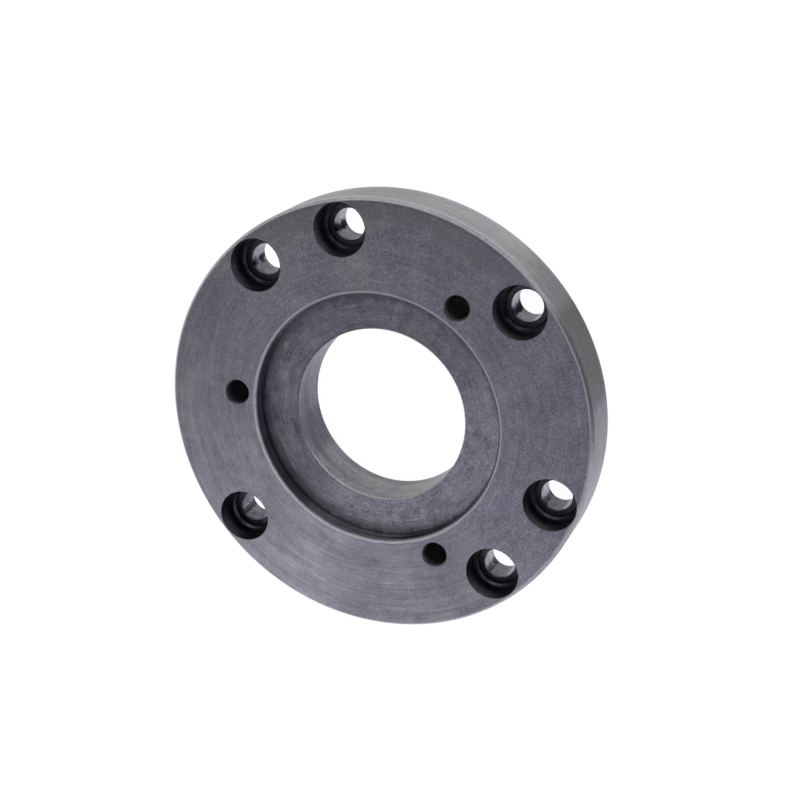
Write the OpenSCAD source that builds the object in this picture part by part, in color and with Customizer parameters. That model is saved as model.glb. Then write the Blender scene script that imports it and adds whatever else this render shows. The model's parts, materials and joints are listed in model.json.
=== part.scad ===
// Back plate that carries a 125 mm lathe chuck on a spindle flange, turned from one blank.
// It lies on its chuck register with the spindle side up. The origin is the centre of the
// register's face, and +Z runs along the bore, out of the spindle side.

/* [Plate] */
// Outside diameter
plate_d = 125; // [110:1:160]
// Thickness of the disc, without the chuck register
plate_t = 16; // [14:0.5:24]
// Chamfer on both outside edges
rim_chamfer = 0.75; // [0.3:0.05:0.8]

/* [Spindle side] */
// Diameter of the recess that the spindle flange enters
recess_d = 72; // [60:1:74]
// Depth of that recess
recess_depth = 4.5; // [3:0.5:6]

/* [Bore] */
// Diameter of the bore
bore_d = 50; // [30:1:54]

/* [Chuck side] */
// Width of the ring that the chuck seats on, from the rim in to the register
seat_w = 15; // [14:0.5:16]
// Height of the register that the chuck centres on
register_h = 3; // [2:0.5:5]
// Chamfer that leads the chuck onto the register
register_chamfer = 0.5; // [0.3:0.1:0.8]

/* [Chuck screws] */
// Through hole for each chuck screw
screw_hole_d = 9; // [8.5:0.1:9.5]
// Counterbore for the head of each chuck screw
counterbore_d = 15; // [13.5:0.5:16]
// Depth of the counterbores
counterbore_depth = 6.2; // [5:0.1:7]
// Pocket in the floor of each counterbore
pocket_d = 12; // [11.2:0.1:12.2]
// Depth of that pocket
pocket_depth = 1.3; // [0.8:0.1:1.8]
// Wall left between the counterbores and the rim
rim_wall = 1; // [1:0.25:2]

/* [Spindle screws] */
// Step from the recess's wall out to the centres of the tapped holes
tapped_step = 6; // [5.5:0.25:6.5]
// Number of tapped holes
tapped_count = 3; // [3:1:4]
// Drilled size of the tapped holes
tap_drill_d = 6.8; // [5:0.1:7]
// Angle from the hole that both chucks share to the first tapped hole
tapped_clock = 75; // [70:1:80]

/* [Edges] */
// Chamfer at the mouth of the recess
recess_chamfer = 0.6; // [0.3:0.1:0.8]
// Chamfer at both mouths of the bore
mouth_chamfer = 0.4; // [0.2:0.1:0.6]
// Bevel on the edge of the pockets
pocket_chamfer = 0.6; // [0.3:0.1:0.6]
// Countersink at both ends of the tapped holes
screw_chamfer = 0.3; // [0.2:0.05:0.4]
// Deburred edge at the mouths of the counterbores and the through holes
hole_break = 0.15; // [0.05:0.05:0.15]
// Width of the groove in the chuck's seat, round the foot of the register
relief_w = 1; // [0.6:0.1:1.2]
// Depth of that groove
relief_depth = 0.3; // [0.1:0.1:0.5]

/* [Hidden] */
$fa = 2;
$fs = 0.5;

plate_r = plate_d / 2;
recess_r = recess_d / 2;
bore_r = bore_d / 2;
register_r = plate_r - seat_w;

// Bolt circles, as radii: 54 for the chuck's screws and 42 for the tapped holes
chuck_circle_r = plate_r - rim_wall - counterbore_d / 2;
tapped_circle_r = recess_r + tapped_step;

// Heights of the faces that matter, from the register's face up
seat_z = register_h;
top_z = register_h + plate_t;
floor_z = top_z - recess_depth;
head_z = top_z - counterbore_depth;
pocket_z = head_z - pocket_depth;

// Three-jaw and four-jaw chucks share the hole at 0 degrees
four_jaw = [for (i = [0:3]) i * 90];
three_jaw = [for (i = [0:2]) i * 120];
chuck_angles = concat(four_jaw, [for (a = three_jaw) if (a % 90 != 0) a]);
tapped_angles = [for (i = [0:tapped_count - 1]) tapped_clock + i * 360 / tapped_count];

// Cutters run past the faces they open by this much
past = 1;

module on_circle(r, angles) {
    for (a = angles)
        rotate([0, 0, a])
            translate([r, 0, 0])
                children();
}

// Half section of the turned blank, radius against height
module section() {
    polygon([
        [bore_r, mouth_chamfer],
        [bore_r + mouth_chamfer, 0],
        [register_r - register_chamfer, 0],
        [register_r, register_chamfer],
        [register_r, seat_z + relief_depth],
        [register_r + relief_w, seat_z + relief_depth],
        [register_r + relief_w, seat_z],
        [plate_r - rim_chamfer, seat_z],
        [plate_r, seat_z + rim_chamfer],
        [plate_r, top_z - rim_chamfer],
        [plate_r - rim_chamfer, top_z],
        [recess_r + recess_chamfer, top_z],
        [recess_r, top_z - recess_chamfer],
        [recess_r, floor_z],
        [bore_r + mouth_chamfer, floor_z],
        [bore_r, floor_z - mouth_chamfer],
    ]);
}

// A 45 degree edge break in the face at height z: side is 1 when the face looks up, -1 when down
module edge_break(d, size, z, side) {
    reach = size + past;
    translate([0, 0, z - side * size])
        rotate([side > 0 ? 0 : 180, 0, 0])
            cylinder(d1 = d, d2 = d + 2 * reach, h = reach);
}

// Bevel under the face at height z, on the edge of a hole that a wider one opens into
module inner_bevel(d, size, z) {
    translate([0, 0, z - size])
        cylinder(d1 = d, d2 = d + 2 * size, h = size);
}

// Stepped hole for a cap screw: counterbore, shallow pocket in its floor, through hole
module chuck_screw_hole() {
    translate([0, 0, seat_z - past])
        cylinder(d = screw_hole_d, h = plate_t + 2 * past);
    translate([0, 0, head_z])
        cylinder(d = counterbore_d, h = counterbore_depth + past);
    translate([0, 0, pocket_z])
        cylinder(d = pocket_d, h = pocket_depth + past);
    inner_bevel(pocket_d, pocket_chamfer, head_z);
    inner_bevel(screw_hole_d, hole_break, pocket_z);
    edge_break(counterbore_d, hole_break, top_z, 1);
    edge_break(screw_hole_d, hole_break, seat_z, -1);
}

// Tapping-size hole right through the plate and its register
module tapped_hole() {
    translate([0, 0, -past])
        cylinder(d = tap_drill_d, h = top_z + 2 * past);
    edge_break(tap_drill_d, screw_chamfer, top_z, 1);
    edge_break(tap_drill_d, screw_chamfer, 0, -1);
}

module back_plate() {
    color("#74747c")
        difference() {
            rotate_extrude() section();
            on_circle(chuck_circle_r, chuck_angles) chuck_screw_hole();
            on_circle(tapped_circle_r, tapped_angles) tapped_hole();
        }
}

back_plate();
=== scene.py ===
import bpy
import json
from math import cos, hypot, pi, radians, sin
from mathutils import Matrix, Vector


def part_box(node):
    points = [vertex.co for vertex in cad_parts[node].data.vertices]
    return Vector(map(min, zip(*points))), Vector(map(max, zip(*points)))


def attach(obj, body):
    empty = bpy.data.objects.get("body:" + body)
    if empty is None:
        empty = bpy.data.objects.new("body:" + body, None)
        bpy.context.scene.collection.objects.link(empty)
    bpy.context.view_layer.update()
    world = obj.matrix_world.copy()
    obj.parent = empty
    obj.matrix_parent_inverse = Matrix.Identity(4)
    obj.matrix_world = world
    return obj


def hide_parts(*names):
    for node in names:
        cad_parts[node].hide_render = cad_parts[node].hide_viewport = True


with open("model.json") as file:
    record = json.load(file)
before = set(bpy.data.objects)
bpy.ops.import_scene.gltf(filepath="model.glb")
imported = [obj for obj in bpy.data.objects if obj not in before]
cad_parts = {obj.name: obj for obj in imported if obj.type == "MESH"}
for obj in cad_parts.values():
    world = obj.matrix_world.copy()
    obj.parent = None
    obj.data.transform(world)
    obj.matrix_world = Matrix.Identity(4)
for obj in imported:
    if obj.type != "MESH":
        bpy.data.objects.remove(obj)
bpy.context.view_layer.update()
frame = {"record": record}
mounts = {mount["name"]: mount for mount in frame["record"]["mounts"]}
mm = 0.001
weld = 0.001 * mm  # points nearer than this are one point
print("frame loaded")


def addNode(tree, kind, settings={}, inputs={}):
    # settings are the node's own options; an input is a number, a colour or another node's output
    node = tree.nodes.new(kind)
    for name, value in settings.items():
        setattr(node, name, value)
    for name, value in inputs.items():
        if isinstance(value, bpy.types.NodeSocket):
            tree.links.new(value, node.inputs[name])
        else:
            node.inputs[name].default_value = value
    return node


def linearColour(hexColour):
    channels = [int(hexColour[i:i + 2], 16) / 255 for i in (1, 3, 5)]
    return [c / 12.92 if c <= 0.04045 else ((c + 0.055) / 1.055) ** 2.4 for c in channels] + [1]


# The camera was fitted to the edges of the rim, the recess, the bore and the holes.
# Lengths are in millimetres, angles in degrees.
camera = {
    "aim": (-10.355, -0.248, 19.0),  # what the middle of the picture looks at
    "distance": 429.11,
    "heading": 4.43,                 # way it looks, from +X towards +Y
    "lookDown": 62.16,
    "roll": 131.38,
    "lens": 70.37,                   # focal length for a sensor 36 mm wide
}


def placeCamera():
    heading, down, roll = (radians(camera[k]) for k in ("heading", "lookDown", "roll"))
    forward = Vector((cos(heading) * cos(down), sin(heading) * cos(down), -sin(down)))
    right = forward.cross(Vector((0, 0, 1))).normalized()
    upright = right.cross(forward)
    up = upright * cos(roll) + forward.cross(upright) * sin(roll)
    right = forward.cross(up)
    data = bpy.data.cameras.new("photoCamera")
    data.lens = camera["lens"]
    data.sensor_width = 36
    data.clip_start = 0.01
    rig = bpy.data.objects.new("photoCamera", data)
    bpy.context.scene.collection.objects.link(rig)
    rotation = Matrix((right, up, -forward)).transposed().to_4x4()
    place = (Vector(camera["aim"]) - forward * camera["distance"]) * mm
    rig.matrix_world = Matrix.Translation(place) @ rotation
    bpy.context.scene.camera = rig


placeCamera()
print("camera placed")


# The plate's sizes, in millimetres, under the names of the Geometry Nodes inputs
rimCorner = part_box("back_plate")[1]
plate = {
    "Rim Radius": rimCorner.x / mm,
    "Top": rimCorner.z / mm,
    "Rim Chamfer": 0.75,
    "Recess Radius": mounts["spindle_recess"]["dims"]["r_mm"],
    "Recess Floor": 14.5,
    "Recess Chamfer": 0.6,
    "Bore Radius": mounts["centre_bore"]["dims"]["r_mm"],
    "Mouth Chamfer": 0.4,
    "Seat": mounts["screws_0_180"]["pos_m"][2] / mm,
    "Register Radius": mounts["chuck_register"]["dims"]["r_mm"],
    "Register Chamfer": 0.5,
    "Relief Width": 1.0,
    "Relief Depth": 0.3,
    "Screw Circle": mounts["screws_0_180"]["dims"]["spacing_x_mm"] / 2,
    "Screw Hole": mounts["screws_0_180"]["dims"]["hole_r_mm"],
    "Counterbore": 7.5,
    "Counterbore Floor": 12.8,
    "Pocket": 6.0,                   # shallow pocket in the counterbore's floor
    "Pocket Chamfer": 0.6,
    "Pocket Floor": 11.5,
    "Screw Chamfer": 0.3,
    "Hole Break": 0.15,
    "Tapped Circle": mounts["spindle_screws"]["dims"]["pcd_mm"] / 2,
    "Tapped Clock": radians(75),
    "Tap Drill": mounts["spindle_screws"]["dims"]["hole_r_mm"],
    "Thread Radius": 4.0,            # M8
    "Thread Pitch": 1.25,
    "Past": 1.0,                     # cutters run past the faces they open by this much
    "Turn Steps": 360,
    "Hole Steps": 96,
    "Thread Steps": 48,
}
notLengths = ("Tapped Clock", "Turn Steps", "Hole Steps", "Thread Steps")
jaws = (4, 3)                        # one hole for each jaw, for the two kinds of chuck
tappedCount = 3

# Half sections, as corners: radius, height, a direction to step off in and how far.
# The plate's runs round from the bore; the cutters' run down from the axis to the axis.
plateSection = [
    ("Bore Radius", 0, (0, 1), "Mouth Chamfer"),
    ("Bore Radius", 0, (1, 0), "Mouth Chamfer"),
    ("Register Radius", 0, (-1, 0), "Register Chamfer"),
    ("Register Radius", 0, (0, 1), "Register Chamfer"),
    ("Register Radius", "Seat", (0, 1), "Relief Depth"),
    ("Relief Edge", "Seat", (0, 1), "Relief Depth"),
    ("Relief Edge", "Seat", (0, 0), 0),
    ("Rim Radius", "Seat", (-1, 0), "Rim Chamfer"),
    ("Rim Radius", "Seat", (0, 1), "Rim Chamfer"),
    ("Rim Radius", "Top", (0, -1), "Rim Chamfer"),
    ("Rim Radius", "Top", (-1, 0), "Rim Chamfer"),
    ("Recess Radius", "Top", (1, 0), "Recess Chamfer"),
    ("Recess Radius", "Top", (0, -1), "Recess Chamfer"),
    ("Recess Radius", "Recess Floor", (0, 0), 0),
    ("Bore Radius", "Recess Floor", (1, 0), "Mouth Chamfer"),
    ("Bore Radius", "Recess Floor", (0, -1), "Mouth Chamfer"),
]
screwSection = [
    (0, "Top", (0, 1), "Past"),
    ("Counterbore Mouth", "Top", (1, 1), "Past"),
    ("Counterbore", "Top", (0, -1), "Hole Break"),
    ("Counterbore", "Counterbore Floor", (0, 0), 0),
    ("Pocket", "Counterbore Floor", (1, 0), "Pocket Chamfer"),
    ("Pocket", "Counterbore Floor", (0, -1), "Pocket Chamfer"),
    ("Pocket", "Pocket Floor", (0, 0), 0),
    ("Screw Hole", "Pocket Floor", (1, 0), "Hole Break"),
    ("Screw Hole", "Pocket Floor", (0, -1), "Hole Break"),
    ("Screw Hole", "Seat", (0, 1), "Hole Break"),
    ("Screw Mouth", "Seat", (1, -1), "Past"),
    (0, "Seat", (0, -1), "Past"),
]
tappedSection = [
    (0, "Top", (0, 1), "Past"),
    ("Tapped Mouth", "Top", (1, 1), "Past"),
    ("Tap Drill", "Top", (0, -1), "Screw Chamfer"),
    ("Tap Drill", 0, (0, 1), "Screw Chamfer"),
    ("Tapped Mouth", 0, (1, -1), "Past"),
    (0, 0, (0, -1), "Past"),
]


def makeTurnTree():
    # turns a half section round the Z axis
    tree = bpy.data.node_groups.new("turnRound", "GeometryNodeTree")
    tree.interface.new_socket(name="Section", in_out="INPUT", socket_type="NodeSocketGeometry")
    tree.interface.new_socket(name="Steps", in_out="INPUT", socket_type="NodeSocketInt")
    tree.interface.new_socket(name="Blank", in_out="OUTPUT", socket_type="NodeSocketGeometry")
    given = addNode(tree, "NodeGroupInput").outputs
    track = 10 * mm  # radius of the circle that the section follows; the section steps back by as much
    laid = addNode(tree, "GeometryNodeTransform", {}, {
        "Geometry": given["Section"], "Rotation": (pi / 2, 0, 0), "Translation": (-track, 0, 0)})
    circle = addNode(tree, "GeometryNodeCurvePrimitiveCircle", {}, {
        "Resolution": given["Steps"], "Radius": track})
    level = addNode(tree, "GeometryNodeSetCurveNormal", {"mode": "Z_UP"}, {"Curve": circle.outputs[0]})
    swept = addNode(tree, "GeometryNodeCurveToMesh", {}, {
        "Curve": level.outputs[0], "Profile Curve": laid.outputs[0]})
    outward = addNode(tree, "GeometryNodeFlipFaces", {}, {"Mesh": swept.outputs[0]})
    closed = addNode(tree, "GeometryNodeMergeByDistance", {}, {
        "Geometry": outward.outputs[0], "Distance": weld})
    addNode(tree, "NodeGroupOutput", {}, {"Blank": closed.outputs[0]})
    return tree


def drawSection(tree, sizes, corners, closed):
    # joins the corners by straight lines and makes one curve of them
    points = []
    for radius, height, step, size in corners:
        corner = addNode(tree, "ShaderNodeCombineXYZ", {}, {
            "X": sizes.get(radius, 0), "Z": sizes.get(height, 0)})
        points.append(addNode(tree, "ShaderNodeVectorMath", {"operation": "MULTIPLY_ADD"}, {
            0: (step[0], 0, step[1]), 1: sizes.get(size, (0, 0, 0)), 2: corner.outputs[0]}).outputs[0])
    lines = addNode(tree, "GeometryNodeJoinGeometry")
    ends = points[1:] + points[:1] if closed else points[1:]
    for start, end in zip(points, ends):
        line = addNode(tree, "GeometryNodeMeshLine", {"mode": "END_POINTS"}, {
            "Count": 2, "Start Location": start, "Offset": end})
        tree.links.new(line.outputs[0], lines.inputs[0])
    joined = addNode(tree, "GeometryNodeMergeByDistance", {}, {
        "Geometry": lines.outputs[0], "Distance": weld})
    return addNode(tree, "GeometryNodeMeshToCurve", {}, {"Mesh": joined.outputs[0]}).outputs[0]


def makePlateTree():
    tree = bpy.data.node_groups.new("backPlate", "GeometryNodeTree")
    for name in plate:
        kind = "NodeSocketInt" if name.endswith("Steps") else "NodeSocketFloat"
        tree.interface.new_socket(name=name, in_out="INPUT", socket_type=kind)
    tree.interface.new_socket(name="Iron", in_out="INPUT", socket_type="NodeSocketMaterial")
    tree.interface.new_socket(name="Plate", in_out="OUTPUT", socket_type="NodeSocketGeometry")
    given = addNode(tree, "NodeGroupInput").outputs
    sizes = {name: given[name] for name in plate}
    for name, first, second in (
            ("Relief Edge", "Register Radius", "Relief Width"),
            ("Counterbore Mouth", "Counterbore", "Hole Break"),
            ("Screw Mouth", "Screw Hole", "Hole Break"),
            ("Tapped Mouth", "Tap Drill", "Screw Chamfer")):
        sizes[name] = addNode(tree, "ShaderNodeMath", {"operation": "ADD"}, {
            0: given[first], 1: given[second]}).outputs[0]
    turn = makeTurnTree()

    def turned(corners, steps, closed=False):
        section = drawSection(tree, sizes, corners, closed)
        return addNode(tree, "GeometryNodeGroup", {"node_tree": turn}, {
            "Section": section, "Steps": given[steps]}).outputs[0]

    blank = turned(plateSection, "Turn Steps", True)

    # Four-jaw and three-jaw chucks share one of their screw holes, so the points that meet are merged
    rings = addNode(tree, "GeometryNodeJoinGeometry")
    for count in jaws:
        ring = addNode(tree, "GeometryNodeMeshCircle", {}, {
            "Vertices": count, "Radius": given["Screw Circle"]})
        tree.links.new(ring.outputs[0], rings.inputs[0])
    screwPoints = addNode(tree, "GeometryNodeMergeByDistance", {}, {
        "Geometry": rings.outputs[0], "Distance": weld})
    screwHoles = addNode(tree, "GeometryNodeInstanceOnPoints", {}, {
        "Points": screwPoints.outputs[0], "Instance": turned(screwSection, "Hole Steps")})
    tappedRing = addNode(tree, "GeometryNodeMeshCircle", {}, {
        "Vertices": tappedCount, "Radius": given["Tapped Circle"]})
    clock = addNode(tree, "ShaderNodeCombineXYZ", {}, {"Z": given["Tapped Clock"]})
    tappedPoints = addNode(tree, "GeometryNodeTransform", {}, {
        "Geometry": tappedRing.outputs[0], "Rotation": clock.outputs[0]})
    tappedHoles = addNode(tree, "GeometryNodeInstanceOnPoints", {}, {
        "Points": tappedPoints.outputs[0], "Instance": turned(tappedSection, "Hole Steps")})

    # The thread is an equilateral triangle, so a 60 degree V, swept up a helix past both faces.
    # Its base lies a little inside the drilled wall, so that it cuts clean.
    overlap = 0.105 * mm
    depth = addNode(tree, "ShaderNodeMath", {"operation": "SUBTRACT"}, {
        0: given["Thread Radius"], 1: given["Tap Drill"]})
    triangleRadius = addNode(tree, "ShaderNodeMath", {"operation": "MULTIPLY_ADD"}, {
        0: depth.outputs[0], 1: 2 / 3, 2: 2 / 3 * overlap})
    helixRadius = addNode(tree, "ShaderNodeMath", {"operation": "SUBTRACT"}, {
        0: given["Thread Radius"], 1: triangleRadius.outputs[0]})
    helixHeight = addNode(tree, "ShaderNodeMath", {"operation": "MULTIPLY_ADD"}, {
        0: given["Past"], 1: 2, 2: given["Top"]})
    helixTurns = addNode(tree, "ShaderNodeMath", {"operation": "DIVIDE"}, {
        0: helixHeight.outputs[0], 1: given["Thread Pitch"]})
    helix = addNode(tree, "GeometryNodeCurveSpiral", {}, {
        "Resolution": given["Thread Steps"], "Rotations": helixTurns.outputs[0],
        "Start Radius": helixRadius.outputs[0], "End Radius": helixRadius.outputs[0],
        "Height": helixHeight.outputs[0], "Reverse": True})
    below = addNode(tree, "ShaderNodeVectorMath", {"operation": "MULTIPLY"}, {
        0: (0, 0, -1), 1: given["Past"]})
    dropped = addNode(tree, "GeometryNodeTransform", {}, {
        "Geometry": helix.outputs[0], "Translation": below.outputs[0]})
    level = addNode(tree, "GeometryNodeSetCurveNormal", {"mode": "Z_UP"}, {"Curve": dropped.outputs[0]})
    triangle = addNode(tree, "GeometryNodeCurvePrimitiveCircle", {}, {
        "Resolution": 3, "Radius": triangleRadius.outputs[0]})
    groove = addNode(tree, "GeometryNodeCurveToMesh", {}, {
        "Curve": level.outputs[0], "Profile Curve": triangle.outputs[0], "Fill Caps": True})
    threads = addNode(tree, "GeometryNodeInstanceOnPoints", {}, {
        "Points": tappedPoints.outputs[0], "Instance": groove.outputs[0]})

    cut = blank
    for cutters in (screwHoles, tappedHoles, threads):
        solid = addNode(tree, "GeometryNodeRealizeInstances", {}, {"Geometry": cutters.outputs[0]})
        cut = addNode(tree, "GeometryNodeMeshBoolean", {"operation": "DIFFERENCE", "solver": "MANIFOLD"}, {
            "Mesh 1": cut, "Mesh 2": solid.outputs[0]}).outputs[0]

    # Round walls are shaded smooth and every edge over 30 degrees stays crisp
    smooth = addNode(tree, "GeometryNodeSetShadeSmooth", {"domain": "FACE"}, {"Geometry": cut})
    bend = addNode(tree, "GeometryNodeInputMeshEdgeAngle")
    crisp = addNode(tree, "FunctionNodeCompare", {"operation": "GREATER_THAN"}, {
        0: bend.outputs[0], 1: radians(30)})
    edged = addNode(tree, "GeometryNodeSetShadeSmooth", {"domain": "EDGE"}, {
        "Geometry": smooth.outputs[0], "Selection": crisp.outputs[0], "Shade Smooth": False})
    real = addNode(tree, "GeometryNodeRealizeInstances", {}, {"Geometry": edged.outputs[0]})
    painted = addNode(tree, "GeometryNodeSetMaterial", {}, {
        "Geometry": real.outputs[0], "Material": given["Iron"]})
    addNode(tree, "NodeGroupOutput", {}, {"Plate": painted.outputs[0]})
    return tree


def makePlate(iron):
    tree = makePlateTree()
    blank = bpy.data.objects.new("plateBlank", bpy.data.meshes.new("plateBlank"))
    bpy.context.scene.collection.objects.link(blank)
    modifier = blank.modifiers.new("turnAndDrill", "NODES")
    modifier.node_group = tree
    for item in tree.interface.items_tree:
        if item.in_out != "INPUT":
            continue
        if item.name == "Iron":
            modifier[item.identifier] = iron
        elif item.name in notLengths:
            modifier[item.identifier] = plate[item.name]
        else:
            modifier[item.identifier] = plate[item.name] * mm
    shape = blank.evaluated_get(bpy.context.evaluated_depsgraph_get())
    mesh = bpy.data.meshes.new_from_object(shape)
    blank.modifiers.clear()
    bpy.data.objects.remove(blank)
    piece = bpy.data.objects.new("backPlate", mesh)
    bpy.context.scene.collection.objects.link(piece)
    return piece


def makeTurnedCoordinates():
    # Marks that a lathe tool leaves run round the axis. Across them the pattern goes with radius on
    # a face and with height on a wall; round the axis it goes with sine and cosine, so it has no seam.
    tree = bpy.data.node_groups.new("turnedCoordinates", "ShaderNodeTree")
    tree.interface.new_socket(name="Round", in_out="INPUT", socket_type="NodeSocketFloat")
    tree.interface.new_socket(name="Across", in_out="INPUT", socket_type="NodeSocketFloat")
    tree.interface.new_socket(name="Vector", in_out="OUTPUT", socket_type="NodeSocketVector")
    given = addNode(tree, "NodeGroupInput").outputs
    place = addNode(tree, "ShaderNodeTexCoord").outputs["Object"]
    flat = addNode(tree, "ShaderNodeVectorMath", {"operation": "MULTIPLY"}, {0: place, 1: (1, 1, 0)})
    radius = addNode(tree, "ShaderNodeVectorMath", {"operation": "LENGTH"}, {0: flat.outputs[0]})
    height = addNode(tree, "ShaderNodeSeparateXYZ", {}, {0: place})
    across = addNode(tree, "ShaderNodeMath", {"operation": "ADD"}, {
        0: radius.outputs["Value"], 1: height.outputs["Z"]})
    rise = addNode(tree, "ShaderNodeMath", {"operation": "MULTIPLY"}, {
        0: across.outputs[0], 1: given["Across"]})
    upward = addNode(tree, "ShaderNodeCombineXYZ", {}, {"Z": rise.outputs[0]})
    unit = addNode(tree, "ShaderNodeVectorMath", {"operation": "NORMALIZE"}, {0: flat.outputs[0]})
    vector = addNode(tree, "ShaderNodeVectorMath", {"operation": "MULTIPLY_ADD"}, {
        0: unit.outputs[0], 1: given["Round"], 2: upward.outputs[0]})
    addNode(tree, "NodeGroupOutput", {}, {"Vector": vector.outputs[0]})
    return tree


turnedCoordinates = makeTurnedCoordinates()

# Finishes, all on cast iron. Sizes and heights are in millimetres. A finish can hold:
#   seed       where its random patterns start
#   tones      colours from the darkest to the lightest
#   warm       a warmer colour that lies in patches, and how much it covers
#   marks      turning marks: their width across, how many lie round the turn, share
#   patches    size, share
#   grain      size, share
#   streakySector  sector where the marks are strongest and the grain is weakest
#   roughness  of the darkest tone and of the lightest
#   bump       how high the patterns stand
#   shadeAndStains  darker sectors, painted shade on most finishes: sector, tint and, if only some holes
#   have one, the sector where those stand
#   lines      radius or height, middle, half width, colour, cover and, if not all round, a sector
#   dark       height where a tint begins, height where it is full, the tint
#   inward     for the wall of a hole, whose darker sectors go by the way the wall faces and not by where it
#              stands: how far that way is shifted for each metre along Y, because the painted shade lies
#              further round in the holes towards +Y
#   ragged     how uneven the sectors' edges are, where 1 is usual
#   dulled     how far darker sectors and lines, painted shade among them, also dull the shine at a glancing angle, from 0 to 1
# A share is how far a pattern moves the tone. A sector is its middle in degrees, then the half widths
# where it is still full and where it ends. Real tool marks are about 0.1 mm wide and the iron's grain is
# finer still, too fine to show in the render, so both are drawn coarser.

# What the two faces share
faced = {
    "tones": ("#35343b", "#525059", "#615f68", "#817e89"),
    "warm": ("#63605a", 0.18),
    "marks": ((0.35, 8, 0.34), (1.2, 4, 0.26)),
    "patches": ((5.5, 0.22), (1.3, 0.20)),
    "roughness": (0.46, 0.38),
    "bump": 0.014,
}

# Faced spindle side: dull and dark grey, with rings of tool marks that show most in one sector as a painted
# sheen, and painted shade and painted highlights in sectors and along its edges
facedCastIron = {
    **faced,
    "seed": 1,
    "grain": (0.28, 0.62),
    # painted sheen: the tool marks are drawn strongest in this sector, where light grazes the face
    "streakySector": (10, 45, 105),
    # painted shade: sectors tinted a little darker
    "shadeAndStains": (
        (328, 30, 58, "#ececee"),
        (64, 16, 36, "#eaeaec"),
        (150, 35, 70, "#f8f7ff"),
        (235, 30, 75, "#fcfefa"),
    ),
    "lines": (
        # painted highlight along the recess's mouth
        ("radius", 36.65, 0.5, "#84828a", 0.6),
        # painted highlight along the rim's edge on one side
        ("radius", 61.5, 0.4, "#84838a", 0.6, 140, 38, 55),
        # painted shade: a dark outline inside the rim's edge on another side
        ("radius", 61.2, 0.4, "#3f3e45", 0.5, 222, 25, 42),
        # painted shade: a broad darker band near the rim on that side
        ("radius", 59.0, 5.5, "#4c4b4f", 0.45, 225, 22, 48),
    ),
}

# Faced chuck side: the same iron, clean and even
facedCastIronBack = {
    **faced,
    "seed": 145,
    "grain": (0.28, 0.40),
}

# Floor of the recess: rougher and mottled, with painted shade along its corner, near the wall on one side
# and in one sector
facedCastIronRecess = {
    "seed": 90,
    "tones": ("#323138", "#54535d", "#666470", "#807e8e"),
    "warm": ("#5a5751", 0.3),
    "marks": ((0.35, 10, 0.50), (1.4, 3, 0.34)),
    "patches": ((5.5, 0.34), (1.3, 0.40)),
    "grain": (0.28, 0.58),
    "streakySector": (305, 45, 100),
    "roughness": (0.60, 0.52),
    "bump": 0.014,
    # painted shade: one sector tinted darker
    "shadeAndStains": ((270, 85, 125, "#dadada"),),
    "lines": (
        # painted shade along the corner with the wall
        ("radius", 36.0, 0.9, "#1c1b20", 0.55),
        # painted shade near the wall on one side
        ("radius", 35.5, 3.0, "#3e3d44", 0.8, 225, 60, 85),
    ),
}

# Turned rim: paler than the faces, with bands round it, and a painted reflection on one side: painted shade
# in dark sectors and bands, and a painted highlight in a pale band near the top
turnedCastIron = {
    "seed": 12,
    "tones": ("#75757b", "#919195", "#9c9ca1", "#b6b6ba"),
    "warm": ("#96948c", 0.3),
    "marks": ((0.45, 5, 0.50), (2.2, 2, 0.35)),
    "patches": ((7.0, 0.25), (1.6, 0.15)),
    "grain": (0.28, 0.5),
    "roughness": (0.48, 0.36),
    "bump": 0.012,
    # painted shade: darker sectors, darkest in a narrow one, standing in for a dark side that the rim
    # mirrors
    "shadeAndStains": (
        (162, 10, 15, "#b4b4b4"),
        (168, 8, 28, "#bcbcbe"),
        (122, 26, 42, "#eeecff"),
        (141, 5, 14, "#eaeaea"),
        (245, 12, 28, "#e2e2e2"),
    ),
    "lines": (
        # painted highlight: a pale band near the top on one side
        ("height", 17.8, 1.4, "#adadb1", 0.7, 222, 26, 42),
        # painted shade: darker bands lower down on the same side
        ("height", 14.9, 2.0, "#85858b", 0.45, 216, 18, 32),
        ("height", 9.5, 5.0, "#6a6a70", 0.35, 246, 7, 20),
    ),
}

# What the chamfers share
turnedEdge = {
    "tones": ("#78777d", "#939298", "#9e9da4", "#b8b7bd"),
    "warm": ("#96948c", 0.2),
    "marks": ((0.45, 9, 0.30), (1.5, 4, 0.35)),
    "patches": ((4.0, 0.35), (1.0, 0.30)),
    "grain": (0.28, 0.6),
    "roughness": (0.48, 0.36),
    "bump": 0.010,
}

# Chamfers of the rim and the register, and the lower one of the bore: pale, with painted shade in a dark
# sector and a dark line on one side
turnedCastIronEdge = {
    **turnedEdge,
    "seed": 67,
    # painted shade: a dark sector, as on the rim
    "shadeAndStains": ((157, 10, 22, "#a9a9ab"),),
    # painted shade: a dark line in that sector
    "lines": (("radius", 62.1, 0.28, "#4a494e", 0.6, 163, 10, 18),),
}

# Chamfer at the recess's mouth: bright above, darker below
turnedCastIronRecessEdge = {
    **turnedEdge,
    "seed": 123,
    "dark": (18.95, 18.4, "#707072"),
}

# Upper chamfer of the bore: bright, and duller on one side
turnedCastIronBoreEdge = {
    **turnedEdge,
    "seed": 112,
    "shadeAndStains": ((290, 40, 75, "#a09eae"),),
}

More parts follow.
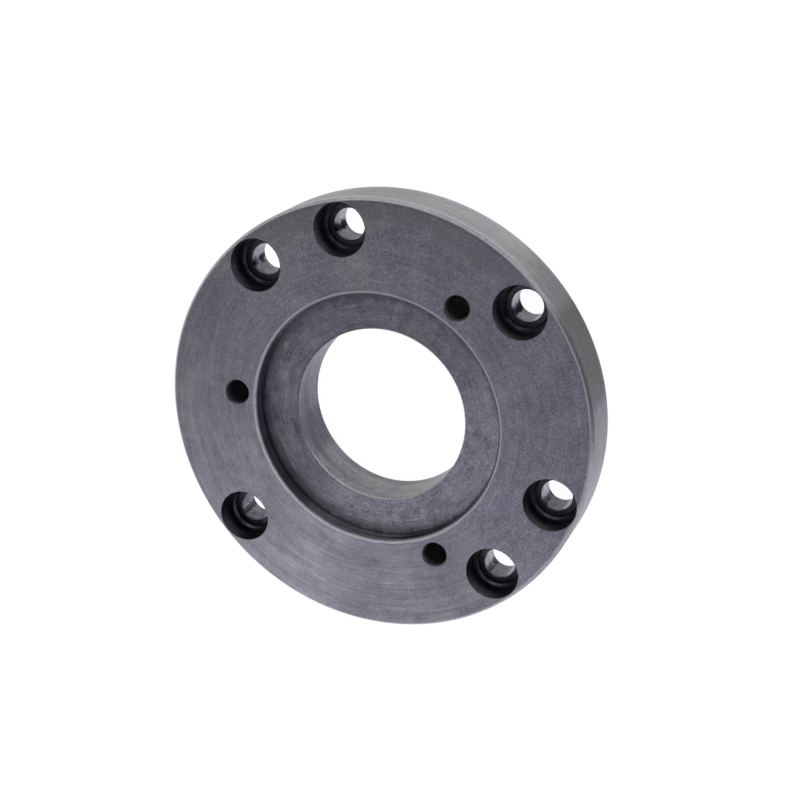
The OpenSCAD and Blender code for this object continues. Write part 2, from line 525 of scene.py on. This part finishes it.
# Wall of the recess: smooth and pale, with painted shade in darker sectors that also dulls its shine, dark
# lines partway up on one side, and painted shade along its corner
boredCastIronRecess = {
    "seed": 101,
    "tones": ("#93919c", "#bab8c6", "#cac8d6", "#e6e4f0"),
    "warm": ("#807e76", 0.3),
    "marks": ((0.4, 6, 0.45), (1.5, 2, 0.35)),
    "patches": ((4.0, 0.35), (1.2, 0.30)),
    "grain": (0.28, 0.6),
    "roughness": (0.45, 0.34),
    "bump": 0.012,
    "dulled": 0.7,
    # painted shade: darker sectors
    "shadeAndStains": (
        (328, 35, 55, "#b0aeb6"),
        (30, 34, 60, "#fcfef0"),
        (86, 15, 32, "#b4b4b4"),
    ),
    "lines": (
        ("height", 17.0, 0.9, "#2a292e", 0.8, 85, 22, 38),
        ("height", 16.9, 0.5, "#2a292e", 0.5, 45, 15, 30),
        # painted shade along the corner with the floor on one side
        ("height", 14.5, 0.8, "#1c1b20", 0.6, 348, 25, 45),
    ),
}

# Wall of the bore: strong bands that the boring tool left
boredCastIron = {
    "seed": 23,
    "tones": ("#5c5a63", "#77757f", "#82808a", "#9f9da6"),
    "warm": ("#807e76", 0.3),
    "marks": ((0.4, 6, 0.60), (1.5, 2, 0.65)),
    "patches": ((4.0, 0.30), (1.2, 0.30)),
    "grain": (0.28, 0.7),
    "roughness": (0.45, 0.34),
    "bump": 0.012,
    "shadeAndStains": (
        (50, 35, 62, "#f3f4ee"),
        (308, 25, 45, "#d8d4ec"),
        (343, 8, 18, "#cecece"),
    ),
    "lines": (
        ("height", 9.7, 2.2, "#514f59", 0.6, 318, 40, 62),
        ("height", 4.5, 1.3, "#5a5862", 0.5, 310, 14, 32),
    ),
}

# Counterbores and their pockets: black with cutting oil, and darker towards the floor with painted shade,
# which also dulls their shine
oilyCastIron = {
    "seed": 34,
    "tones": ("#201f26", "#3a3941", "#48464f", "#66636e"),
    "warm": ("#3b3a35", 0.3),
    "marks": ((0.5, 6, 0.10), (2.0, 2, 0.10)),
    "patches": ((2.5, 0.45), (0.9, 0.35)),
    "grain": (0.28, 0.5),
    "roughness": (0.42, 0.30),
    "bump": 0.010,
    # painted shade, deepening towards the floor
    "dark": (13.8, 12.9, "#c6c6c6"),
    "dulled": 1,
}

# Bevels of the pockets: oily too, and smooth enough to catch a light arc, which painted shade dims on the
# sides that face one way
oilyCastIronEdge = {
    "seed": 78,
    "tones": ("#2e2d32", "#4a494e", "#57565d", "#76757b"),
    "warm": ("#4e4c48", 0.3),
    "marks": ((0.5, 6, 0.10), (2.0, 2, 0.10)),
    "patches": ((2.5, 0.70), (0.9, 0.55)),
    "grain": (0.28, 0.5),
    "roughness": (0.40, 0.28),
    "bump": 0.010,
    "inward": (0, 0, 0),
    # painted shade: sectors of the arc tinted darker, by the way the bevel faces
    "shadeAndStains": (
        (178, 14, 34, "#b0b0b0"),
        (152, 12, 32, "#a0a0a0", 215, 50, 75),
    ),
}

# Through holes: bright where the drill cut, with painted shade in a ragged dark streak down one side and in
# darker sectors, and painted shade darkening the wall towards its mouth
drilledCastIron = {
    "seed": 45,
    "tones": ("#6f6b79", "#8e8a99", "#9a97a6", "#b7b4bf"),
    "warm": ("#a8a59c", 0.2),
    "marks": ((0.6, 8, 0.30), (1.5, 4, 0.30)),
    "patches": ((3.2, 0.60), (0.9, 0.75)),
    "grain": (0.28, 0.5),
    "roughness": (0.42, 0.28),
    "bump": 0.010,
    "inward": (0.6, 3.3, 0),
    "ragged": 3.5,
    "dulled": 0.6,
    "shadeAndStains": (
        # painted shade: darker sectors and a narrow dark streak
        (211, 34, 44, "#c3c4c0"),
        (169, 4, 16, "#88888c"),
        (166, 4, 24, "#a4a4a8", 215, 50, 75),
        (118, 30, 40, "#c8c6d0", 0, 20, 40),
    ),
    # painted shade, darker towards the mouth
    "dark": (9.8, 11.4, "#b8b8b8"),
}

# Threads: dark and matt, and black below the first turns with painted shade, which also dulls their shine
tappedCastIron = {
    "seed": 56,
    "tones": ("#232226", "#37363c", "#45444b", "#646369"),
    "warm": ("#2b2925", 0.3),
    "marks": ((0.6, 6, 0.15), (1.5, 3, 0.15)),
    "patches": ((2.0, 0.45), (0.8, 0.30)),
    "grain": (0.28, 0.5),
    "roughness": (0.60, 0.50),
    "bump": 0.010,
    # painted shade, deepening down the hole
    "dark": (18.9, 16.0, "#8c8c8c"),
    "dulled": 0.6,
}


tonePlaces = (0.2, 0.42, 0.56, 0.8)  # where the four colours lie between the darkest tone and the lightest
weakMarks = 0.6                      # strength of the marks outside a streaky sector
weakGrain = 0.5                      # strength of the grain inside it
lineCore = 0.3                       # part of a line's half width that it covers fully
lineWander = 1.5                     # how far its edges wander, as a part of its half width


def makePatterns(tree, look, place):
    # each pattern, its share, and its strength outside and inside a streaky sector
    seed = look["seed"]
    patterns = []
    for i, (width, count, share) in enumerate(look["marks"]):
        lines = addNode(tree, "ShaderNodeGroup", {"node_tree": turnedCoordinates}, {
            "Round": count / 2, "Across": 1 / (2 * width * mm)})
        noise = addNode(tree, "ShaderNodeTexNoise", {"noise_dimensions": "4D"}, {
            "Vector": lines.outputs[0], "W": seed + i, "Scale": 1, "Detail": 3, "Roughness": 0.6})
        patterns.append((noise.outputs[0], share, weakMarks, 1))
    specks = [(*patch, 1) for patch in look["patches"]] + [(*look["grain"], weakGrain)]
    for i, (size, share, inside) in enumerate(specks):
        noise = addNode(tree, "ShaderNodeTexNoise", {"noise_dimensions": "4D"}, {
            "Vector": place, "W": seed + 5 + i,
            "Scale": 1 / (2 * size * mm), "Detail": 2, "Roughness": 0.6})
        patterns.append((noise.outputs[0], share, 1, inside))
    return patterns


def makeFinish(name, look):
    material = bpy.data.materials.new(name)
    material.use_nodes = True
    tree = material.node_tree
    tree.nodes.clear()
    coordinates = addNode(tree, "ShaderNodeTexCoord").outputs
    place = coordinates["Object"]
    patterns = makePatterns(tree, look, place)
    broadPatches, finePatches = patterns[2][0], patterns[3][0]

    flat = addNode(tree, "ShaderNodeVectorMath", {"operation": "MULTIPLY"}, {0: place, 1: (1, 1, 0)})
    unit = addNode(tree, "ShaderNodeVectorMath", {"operation": "NORMALIZE"}, {0: flat.outputs[0]})
    distance = addNode(tree, "ShaderNodeVectorMath", {"operation": "LENGTH"}, {0: flat.outputs[0]})
    parts = addNode(tree, "ShaderNodeSeparateXYZ", {}, {0: place})
    measures = {"radius": distance.outputs["Value"], "height": parts.outputs["Z"]}
    standing = facing = unit.outputs[0]
    if "inward" in look:
        turned = addNode(tree, "ShaderNodeVectorMath", {"operation": "MULTIPLY_ADD"}, {
            0: parts.outputs["Y"], 1: look["inward"], 2: coordinates["Normal"]})
        level = addNode(tree, "ShaderNodeVectorMath", {"operation": "MULTIPLY"}, {
            0: turned.outputs[0], 1: (1, 1, 0)})
        facing = addNode(tree, "ShaderNodeVectorMath", {"operation": "NORMALIZE"}, {
            0: level.outputs[0]}).outputs[0]

    # The edges of sectors and lines are uneven, and follow the finer patches
    uneven = addNode(tree, "ShaderNodeMath", {"operation": "SUBTRACT"}, {0: finePatches, 1: 0.5}).outputs[0]

    # 0 outside a sector, rising over its edge to most
    def inSector(direction, middle, full, gone, most=1):
        near, far = cos(radians(full)), cos(radians(gone))
        along = addNode(tree, "ShaderNodeVectorMath", {"operation": "DOT_PRODUCT"}, {
            0: direction, 1: (cos(radians(middle)), sin(radians(middle)), 0)})
        edge = addNode(tree, "ShaderNodeMath", {"operation": "MULTIPLY_ADD"}, {
            0: uneven, 1: look.get("ragged", 1) * (near - far), 2: along.outputs["Value"]})
        return addNode(tree, "ShaderNodeMapRange", {"interpolation_type": "SMOOTHSTEP"}, {
            "Value": edge.outputs[0], "From Min": far, "From Max": near, "To Max": most}).outputs[0]

    streakySector = inSector(standing, *look["streakySector"]) if "streakySector" in look else None
    tone = 0.5
    for pattern, share, outside, inside in patterns:
        if streakySector and outside != inside:
            share = addNode(tree, "ShaderNodeMapRange", {}, {
                "Value": streakySector, "To Min": outside * share, "To Max": inside * share}).outputs[0]
        centred = addNode(tree, "ShaderNodeMath", {"operation": "SUBTRACT"}, {0: pattern, 1: 0.5})
        tone = addNode(tree, "ShaderNodeMath", {"operation": "MULTIPLY_ADD"}, {
            0: centred.outputs[0], 1: share, 2: tone}).outputs[0]
    ramp = addNode(tree, "ShaderNodeValToRGB", {}, {0: tone})
    stops = ramp.color_ramp.elements
    while len(stops) < len(look["tones"]):
        stops.new(0.5)
    for stop, position, colour in zip(stops, tonePlaces, look["tones"]):
        stop.position = position
        stop.color = linearColour(colour)
    # The warmer colour lies on the stronger half of the broad patches
    warm, cover = look["warm"]
    warmth = addNode(tree, "ShaderNodeMapRange", {}, {
        "Value": broadPatches, "From Min": 0.5, "From Max": 0.7, "To Max": cover})
    colour = addNode(tree, "ShaderNodeMix", {"data_type": "RGBA"}, {
        0: warmth.outputs[0], 6: ramp.outputs[0], 7: linearColour(warm)}).outputs[2]

    # Darker sectors and the dark end of a wall, much of it painted shade, multiply the colour, and lines,
    # painted highlights and shade among them, lie over it
    layers = []
    for middle, full, gone, tint, *holes in look.get("shadeAndStains", ()):
        most = inSector(standing, *holes) if holes else 1
        layers.append(("MULTIPLY", inSector(facing, middle, full, gone, most), tint))
    if "dark" in look:
        start, end, tint = look["dark"]
        mask = addNode(tree, "ShaderNodeMapRange", {"interpolation_type": "SMOOTHSTEP"}, {
            "Value": measures["height"], "From Min": start * mm, "From Max": end * mm})
        layers.append(("MULTIPLY", mask.outputs[0], tint))
    for measure, middle, half, tint, share, *where in look.get("lines", ()):
        off = addNode(tree, "ShaderNodeMath", {"operation": "SUBTRACT"}, {
            0: measures[measure], 1: middle * mm})
        size = addNode(tree, "ShaderNodeMath", {"operation": "ABSOLUTE"}, {0: off.outputs[0]})
        edge = addNode(tree, "ShaderNodeMath", {"operation": "MULTIPLY_ADD"}, {
            0: uneven, 1: lineWander * half * mm, 2: size.outputs[0]})
        mask = addNode(tree, "ShaderNodeMapRange", {"interpolation_type": "SMOOTHSTEP"}, {
            "Value": edge.outputs[0], "From Min": half * mm, "From Max": lineCore * half * mm,
            "To Max": inSector(standing, *where, share) if where else share})
        layers.append(("MIX", mask.outputs[0], tint))
    # These tints, painted shade among them, can also dull the shine at a glancing angle
    shine = white = linearColour("#ffffff")
    for blend, mask, tint in layers:
        colour = addNode(tree, "ShaderNodeMix", {"data_type": "RGBA", "blend_type": blend}, {
            0: mask, 6: colour, 7: linearColour(tint)}).outputs[2]
        shine = addNode(tree, "ShaderNodeMix", {"data_type": "RGBA", "blend_type": blend}, {
            0: mask, 6: shine, 7: linearColour(tint)}).outputs[2]
    shine = addNode(tree, "ShaderNodeMix", {"data_type": "RGBA"}, {
        0: look.get("dulled", 0), 6: white, 7: shine}).outputs[2]

    dull, smooth = look["roughness"]
    rough = addNode(tree, "ShaderNodeMapRange", {}, {
        "Value": tone, "From Min": tonePlaces[0], "From Max": tonePlaces[-1],
        "To Min": dull, "To Max": smooth})
    bump = addNode(tree, "ShaderNodeBump", {}, {
        "Height": tone, "Distance": look["bump"] * mm, "Strength": 1})
    metal = addNode(tree, "ShaderNodeBsdfPrincipled", {}, {
        "Base Color": colour, "Metallic": 1, "Roughness": rough.outputs[0],
        "Specular Tint": shine, "Normal": bump.outputs[0]})
    addNode(tree, "ShaderNodeOutputMaterial", {}, {0: metal.outputs[0]})
    return material


looks = {
    "facedCastIron": facedCastIron,
    "facedCastIronBack": facedCastIronBack,
    "facedCastIronRecess": facedCastIronRecess,
    "turnedCastIron": turnedCastIron,
    "turnedCastIronEdge": turnedCastIronEdge,
    "turnedCastIronRecessEdge": turnedCastIronRecessEdge,
    "turnedCastIronBoreEdge": turnedCastIronBoreEdge,
    "boredCastIronRecess": boredCastIronRecess,
    "boredCastIron": boredCastIron,
    "oilyCastIron": oilyCastIron,
    "oilyCastIronEdge": oilyCastIronEdge,
    "drilledCastIron": drilledCastIron,
    "tappedCastIron": tappedCastIron,
}
finishes = {name: makeFinish(name, look) for name, look in looks.items()}
print("finishes made")


# Where the holes stand round the axis
screwAngles = [2 * pi * i / count for count in jaws for i in range(count)]
tappedAngles = [plate["Tapped Clock"] + 2 * pi * i / tappedCount for i in range(tappedCount)]


def finishOf(centre, normal):
    # a face gets its finish by where its middle lies and which way it looks; lengths are in millimetres
    x, y, z = (c / mm for c in centre)
    radius = hypot(x, y)
    slack = 0.01                     # for rounding
    edgeBreak = plate["Hole Break"]

    def toNearest(circle, angles):
        return min(hypot(x - circle * cos(a), y - circle * sin(a)) for a in angles)

    toScrew = toNearest(plate["Screw Circle"], screwAngles)
    toTapped = toNearest(plate["Tapped Circle"], tappedAngles)
    level = abs(normal.z) > 0.99
    bevelled = 0.68 < abs(normal.z) < 0.73  # 45 degrees
    if bevelled:
        if z > plate["Top"] - edgeBreak and toScrew < plate["Counterbore"] + edgeBreak:
            return "facedCastIron"
        if z < plate["Seat"] + edgeBreak and toScrew < plate["Screw Hole"] + edgeBreak:
            return "facedCastIron"
        if toTapped < plate["Thread Radius"]:
            return "facedCastIron"
        recessMouth = plate["Recess Radius"] + plate["Recess Chamfer"]
        if z > plate["Top"] - plate["Recess Chamfer"] and radius < recessMouth:
            return "turnedCastIronRecessEdge"
        if z > plate["Top"] - plate["Rim Chamfer"] or z < plate["Seat"] + plate["Rim Chamfer"]:
            return "turnedCastIronEdge"
    if not level or plate["Seat"] + slack < z < plate["Top"] - slack:
        if toTapped < plate["Thread Radius"] + slack:
            return "tappedCastIron"
        if toScrew < plate["Screw Hole"] + edgeBreak and z < plate["Pocket Floor"] - slack:
            return "drilledCastIron"
        if toScrew < plate["Counterbore"] + slack and z > plate["Pocket Floor"] - slack:
            return "oilyCastIronEdge" if bevelled else "oilyCastIron"
    if bevelled:
        return "turnedCastIronBoreEdge"
    if level and normal.z < 0:
        return "facedCastIronBack"
    if level:
        return "facedCastIron" if z > plate["Top"] - slack else "facedCastIronRecess"
    if radius > plate["Screw Circle"]:
        return "turnedCastIron"
    if radius > plate["Recess Radius"] - slack and z > plate["Recess Floor"]:
        return "boredCastIronRecess"
    return "boredCastIron"


backPlate = makePlate(finishes["facedCastIron"])
backPlate.data.materials.clear()
for finish in finishes.values():
    backPlate.data.materials.append(finish)
order = list(finishes)
for face in backPlate.data.polygons:
    face.material_index = order.index(finishOf(face.center, face.normal))
print("plate made:", len(backPlate.data.polygons), "faces")

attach(backPlate, "root")
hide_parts("back_plate")


# Light comes from a pale room and a soft lamp. Strengths are set so that a colour shows about as written.
light = {
    "room": 0.8,
    "background": 1,
    "lamps": (
        # direction it stands in, distance and side in metres, strength in watts
        ((0.8, 0.24, 0.6), 0.33, 0.25, 0.6),
    ),
}
# The table glows white to the camera, with just enough paint to show the plate's shadow
table = {
    "half": 3,                       # metres
    "paint": "#e7e7e7",              # its colour as the plate's surroundings
    "shadowed": "#454545",           # the paint that the shadow shows on
    "glow": 0.97,
}


def seenDirectly(tree):
    # 1 for the camera, and for metal that mirrors the room, and 0 for the light that falls on the plate
    path = addNode(tree, "ShaderNodeLightPath").outputs
    seen = path["Is Camera Ray"]
    for ray in ("Is Glossy Ray", "Is Transmission Ray"):
        seen = addNode(tree, "ShaderNodeMath", {"operation": "MAXIMUM"}, {0: seen, 1: path[ray]}).outputs[0]
    return seen


def makeLight():
    world = bpy.data.worlds.new("paleRoom")
    bpy.context.scene.world = world
    world.use_nodes = True
    tree = world.node_tree
    tree.nodes.clear()
    strength = addNode(tree, "ShaderNodeMapRange", {}, {
        "Value": seenDirectly(tree), "To Min": light["room"], "To Max": light["background"]})
    sky = addNode(tree, "ShaderNodeBackground", {}, {
        "Color": linearColour("#ffffff"), "Strength": strength.outputs[0]})
    addNode(tree, "ShaderNodeOutputWorld", {}, {0: sky.outputs[0]})
    for i, (direction, distance, side, watts) in enumerate(light["lamps"]):
        data = bpy.data.lights.new(f"softLamp{i + 1}", "AREA")
        data.size = side
        data.energy = watts
        lamp = bpy.data.objects.new(data.name, data)
        bpy.context.scene.collection.objects.link(lamp)
        away = Vector(direction).normalized()
        lamp.location = away * distance
        lamp.rotation_mode = "QUATERNION"
        lamp.rotation_quaternion = away.to_track_quat("Z", "Y")


def makeFloor():
    half = table["half"]
    corners = [(-half, -half, 0), (half, -half, 0), (half, half, 0), (-half, half, 0)]
    mesh = bpy.data.meshes.new("whiteTable")
    mesh.from_pydata(corners, [], [(0, 1, 2, 3)])
    floor = bpy.data.objects.new("whiteTable", mesh)
    bpy.context.scene.collection.objects.link(floor)
    material = bpy.data.materials.new("whiteTable")
    material.use_nodes = True
    tree = material.node_tree
    tree.nodes.clear()
    paint = addNode(tree, "ShaderNodeBsdfDiffuse", {}, {"Color": linearColour(table["paint"])})
    shadowed = addNode(tree, "ShaderNodeBsdfDiffuse", {}, {"Color": linearColour(table["shadowed"])})
    glow = addNode(tree, "ShaderNodeEmission", {}, {
        "Color": linearColour("#ffffff"), "Strength": table["glow"]})
    bright = addNode(tree, "ShaderNodeAddShader", {}, {0: shadowed.outputs[0], 1: glow.outputs[0]})
    mixed = addNode(tree, "ShaderNodeMixShader", {}, {
        0: seenDirectly(tree), 1: paint.outputs[0], 2: bright.outputs[0]})
    addNode(tree, "ShaderNodeOutputMaterial", {}, {0: mixed.outputs[0]})
    mesh.materials.append(material)


makeLight()
makeFloor()
bpy.context.scene.view_settings.view_transform = "Standard"
print("light and table set")
